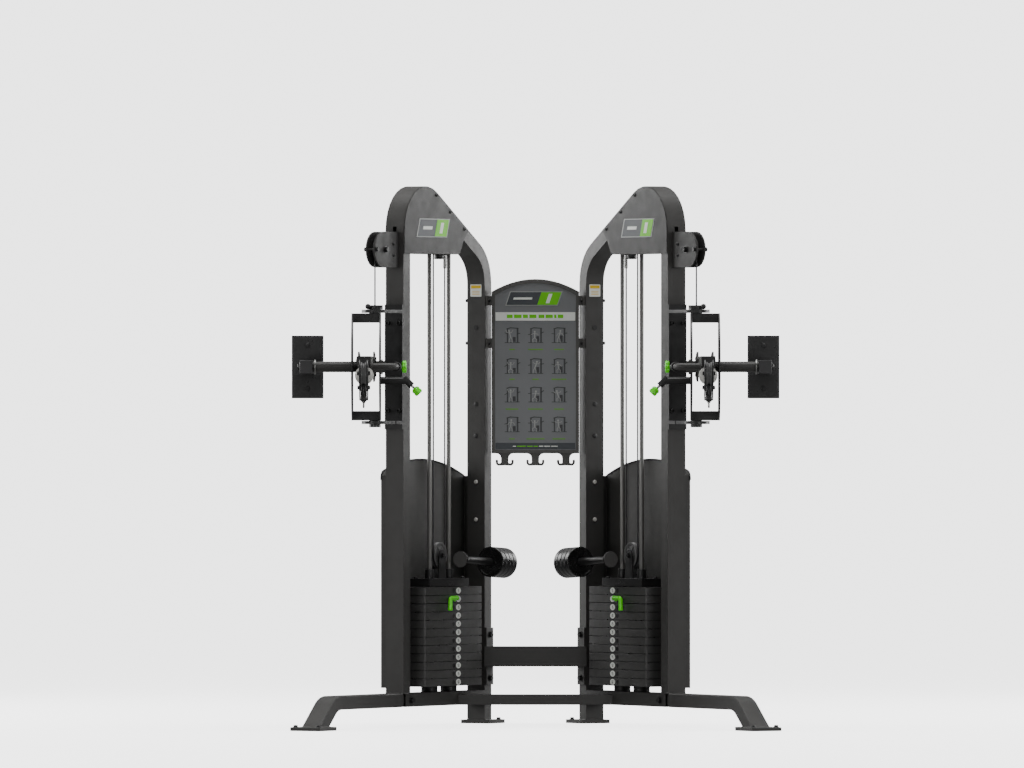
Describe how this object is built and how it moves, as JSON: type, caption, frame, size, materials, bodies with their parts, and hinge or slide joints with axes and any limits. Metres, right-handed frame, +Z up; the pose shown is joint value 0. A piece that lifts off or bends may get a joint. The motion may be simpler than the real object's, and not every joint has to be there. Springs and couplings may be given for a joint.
{
  "type": "dual-arm functional trainer",
  "caption": "Cable exercise machine: two angled towers with weight stacks, swivelling and tilting arms with turning pulley heads, and an exercise board between them.",
  "frame": {"origin": "on the floor, under the middle of the machine's outer box", "axes": "+X to the right of a user facing the machine, +Y from the user towards the machine's back, +Z up"},
  "size_m": [1.8316, 2.0979, 2.0294],
  "materials": {
    "frame_paint": "dark charcoal satin powder coat",
    "panel_paint": "lighter grey satin powder coat",
    "dark_paint": "near-black powder coat",
    "weight_paint": "black painted cast iron",
    "plate_iron": "black painted cast iron",
    "disc_iron": "black coated discs",
    "rod_chrome": "polished chrome rod",
    "grip_rubber": "black ribbed rubber",
    "stop_rubber": "black rubber ball",
    "green_plastic": "bright green moulded plastic",
    "pulley_nylon": "grey moulded nylon",
    "cable_jacket": "black nylon-coated steel cable",
    "board_plastic": "slate grey printed panel"
  },
  "bodies": {
    "base": {"left_tower_frame": "frame_paint", "left_front_leg": "frame_paint", "left_top_cover": "panel_paint", "left_stack_shroud": "frame_paint", "left_guide_rod_front": "rod_chrome", "left_guide_rod_rear": "rod_chrome", "left_rod_head_plate": "dark_paint", "left_parked_plates": "plate_iron", "left_pulley_housing": "panel_paint", "left_stack_cable": "cable_jacket", "left_swivel_bracket": "dark_paint", "right_tower_frame": "frame_paint", "right_front_leg": "frame_paint", "right_top_cover": "panel_paint", "right_stack_shroud": "frame_paint", "right_guide_rod_front": "rod_chrome", "right_guide_rod_rear": "rod_chrome", "right_rod_head_plate": "dark_paint", "right_parked_plates": "plate_iron", "right_pulley_housing": "panel_paint", "right_stack_cable": "cable_jacket", "right_swivel_bracket": "dark_paint", "lower_cross_beam": "frame_paint", "rear_cross_beam": "frame_paint", "board_frame": "frame_paint", "board_panel": "board_plastic"},
    "left_lift_body": {"left_lifted_plates": "plate_iron", "left_stack_head": "dark_paint"},
    "left_stack_pulley_body": {"left_stack_pulley": "pulley_nylon"},
    "left_selector_pin_body": {"left_selector_pin": "green_plastic"},
    "left_inner_pulley_body": {"left_inner_pulley": "pulley_nylon"},
    "left_outer_pulley_body": {"left_outer_pulley": "pulley_nylon"},
    "left_addon_discs_body": {"left_addon_discs": "disc_iron"},
    "left_carriage_body": {"left_swivel_carriage": "dark_paint"},
    "left_swivel_pin_body": {"left_swivel_pin": "green_plastic"},
    "left_arm_body": {"left_arm": "frame_paint", "left_grip_sleeve": "grip_rubber", "left_counterweight": "weight_paint"},
    "left_tilt_pin_body": {"left_tilt_pin": "green_plastic"},
    "left_head_body": {"left_arm_head": "dark_paint", "left_cable_stop": "stop_rubber"},
    "left_head_pulley_far_body": {"left_head_pulley_far": "pulley_nylon"},
    "left_head_pulley_near_body": {"left_head_pulley_near": "pulley_nylon"},
    "right_lift_body": {"right_lifted_plates": "plate_iron", "right_stack_head": "dark_paint"},
    "right_stack_pulley_body": {"right_stack_pulley": "pulley_nylon"},
    "right_selector_pin_body": {"right_selector_pin": "green_plastic"},
    "right_inner_pulley_body": {"right_inner_pulley": "pulley_nylon"},
    "right_outer_pulley_body": {"right_outer_pulley": "pulley_nylon"},
    "right_addon_discs_body": {"right_addon_discs": "disc_iron"},
    "right_carriage_body": {"right_swivel_carriage": "dark_paint"},
    "right_swivel_pin_body": {"right_swivel_pin": "green_plastic"},
    "right_arm_body": {"right_arm": "frame_paint", "right_grip_sleeve": "grip_rubber", "right_counterweight": "weight_paint"},
    "right_tilt_pin_body": {"right_tilt_pin": "green_plastic"},
    "right_head_body": {"right_arm_head": "dark_paint", "right_cable_stop": "stop_rubber"},
    "right_head_pulley_far_body": {"right_head_pulley_far": "pulley_nylon"},
    "right_head_pulley_near_body": {"right_head_pulley_near": "pulley_nylon"}
  },
  "joints": [
    {"name": "left_stack_lift", "type": "slide", "parent": "base", "child": "left_lift_body", "axis": [0, 0, 1], "range_m": [0, 0.95], "deforming": ["left_stack_cable"]},
    {"name": "left_stack_pulley_turn", "type": "hinge", "parent": "left_lift_body", "child": "left_stack_pulley_body", "pos_m": [-0.36377, 0.6687, 0.64], "axis": [0.8746, -0.4848, 0], "continuous": true},
    {"name": "left_inner_pulley_turn", "type": "hinge", "parent": "base", "child": "left_inner_pulley_body", "pos_m": [-0.40643, 0.59173, 1.842], "axis": [0.8746, -0.4848, 0], "continuous": true},
    {"name": "left_outer_pulley_turn", "type": "hinge", "parent": "base", "child": "left_outer_pulley_body", "pos_m": [-0.57951, 0.27949, 1.789], "axis": [0.8746, -0.4848, 0], "continuous": true},
    {"name": "left_selector_pin_pull", "type": "slide", "parent": "left_lift_body", "child": "left_selector_pin_body", "axis": [0.8746, -0.4848, 0], "range_m": [0, 0.085]},
    {"name": "left_addon_discs_slide", "type": "slide", "parent": "base", "child": "left_addon_discs_body", "axis": [-0.4841, -0.8734, 0.0523], "range_m": [0, 0.22]},
    {"name": "left_arm_swivel", "type": "hinge", "parent": "base", "child": "left_carriage_body", "pos_m": [-0.60084, 0.24101, 1.35], "axis": [0, 0, 1], "range_deg": [-43, 43]},
    {"name": "left_swivel_pin_pull", "type": "slide", "parent": "left_carriage_body", "child": "left_swivel_pin_body", "axis": [0.7071, 0, -0.7071], "range_m": [0, 0.015], "stiffness_N_per_m": 800, "springref_m": -0.012},
    {"name": "left_arm_tilt", "type": "hinge", "parent": "left_carriage_body", "child": "left_arm_body", "pos_m": [-0.62984, 0.19101, 1.35], "axis": [-1, 0, 0], "range_deg": [-70, 70]},
    {"name": "left_tilt_pin_pull", "type": "slide", "parent": "left_arm_body", "child": "left_tilt_pin_body", "axis": [1, 0, 0], "range_m": [0, 0.022], "stiffness_N_per_m": 800, "springref_m": -0.012},
    {"name": "left_head_turn", "type": "hinge", "parent": "left_arm_body", "child": "left_head_body", "pos_m": [-0.62984, -0.76899, 1.317], "axis": [0, -1, 0], "range_deg": [-120, 120]},
    {"name": "left_head_pulley_far_turn", "type": "hinge", "parent": "left_head_body", "child": "left_head_pulley_far_body", "pos_m": [-0.62984, -0.99899, 1.325], "axis": [1, 0, 0], "continuous": true},
    {"name": "left_head_pulley_near_turn", "type": "hinge", "parent": "left_head_body", "child": "left_head_pulley_near_body", "pos_m": [-0.62984, -0.91099, 1.273], "axis": [1, 0, 0], "continuous": true},
    {"name": "right_stack_lift", "type": "slide", "parent": "base", "child": "right_lift_body", "axis": [0, 0, 1], "range_m": [0, 0.95], "deforming": ["right_stack_cable"]},
    {"name": "right_stack_pulley_turn", "type": "hinge", "parent": "right_lift_body", "child": "right_stack_pulley_body", "pos_m": [0.36377, 0.6687, 0.64], "axis": [0.8746, 0.4848, 0], "continuous": true},
    {"name": "right_inner_pulley_turn", "type": "hinge", "parent": "base", "child": "right_inner_pulley_body", "pos_m": [0.40643, 0.59173, 1.842], "axis": [0.8746, 0.4848, 0], "continuous": true},
    {"name": "right_outer_pulley_turn", "type": "hinge", "parent": "base", "child": "right_outer_pulley_body", "pos_m": [0.57951, 0.27949, 1.789], "axis": [0.8746, 0.4848, 0], "continuous": true},
    {"name": "right_selector_pin_pull", "type": "slide", "parent": "right_lift_body", "child": "right_selector_pin_body", "axis": [-0.8746, -0.4848, 0], "range_m": [0, 0.085]},
    {"name": "right_addon_discs_slide", "type": "slide", "parent": "base", "child": "right_addon_discs_body", "axis": [0.4841, -0.8734, 0.0523], "range_m": [0, 0.22]},
    {"name": "right_arm_swivel", "type": "hinge", "parent": "base", "child": "right_carriage_body", "pos_m": [0.60084, 0.24101, 1.35], "axis": [0, 0, -1], "range_deg": [-43, 43]},
    {"name": "right_swivel_pin_pull", "type": "slide", "parent": "right_carriage_body", "child": "right_swivel_pin_body", "axis": [-0.7071, 0, -0.7071], "range_m": [0, 0.015], "stiffness_N_per_m": 800, "springref_m": -0.012},
    {"name": "right_arm_tilt", "type": "hinge", "parent": "right_carriage_body", "child": "right_arm_body", "pos_m": [0.62984, 0.19101, 1.35], "axis": [-1, 0, 0], "range_deg": [-70, 70]},
    {"name": "right_tilt_pin_pull", "type": "slide", "parent": "right_arm_body", "child": "right_tilt_pin_body", "axis": [-1, 0, 0], "range_m": [0, 0.022], "stiffness_N_per_m": 800, "springref_m": -0.012},
    {"name": "right_head_turn", "type": "hinge", "parent": "right_arm_body", "child": "right_head_body", "pos_m": [0.62984, -0.76899, 1.317], "axis": [0, 1, 0], "range_deg": [-120, 120]},
    {"name": "right_head_pulley_far_turn", "type": "hinge", "parent": "right_head_body", "child": "right_head_pulley_far_body", "pos_m": [0.62984, -0.99899, 1.325], "axis": [1, 0, 0], "continuous": true},
    {"name": "right_head_pulley_near_turn", "type": "hinge", "parent": "right_head_body", "child": "right_head_pulley_near_body", "pos_m": [0.62984, -0.91099, 1.273], "axis": [1, 0, 0], "continuous": true}
  ],
  "couplings": [
    {"joint": "left_stack_pulley_turn", "follows": "left_stack_lift", "rad_per_m": -22.727},
    {"joint": "left_inner_pulley_turn", "follows": "left_stack_lift", "rad_per_m": 45.455},
    {"joint": "left_outer_pulley_turn", "follows": "left_stack_lift", "rad_per_m": 45.455},
    {"joint": "right_stack_pulley_turn", "follows": "right_stack_lift", "rad_per_m": -22.727},
    {"joint": "right_inner_pulley_turn", "follows": "right_stack_lift", "rad_per_m": 45.455},
    {"joint": "right_outer_pulley_turn", "follows": "right_stack_lift", "rad_per_m": 45.455}
  ]
}
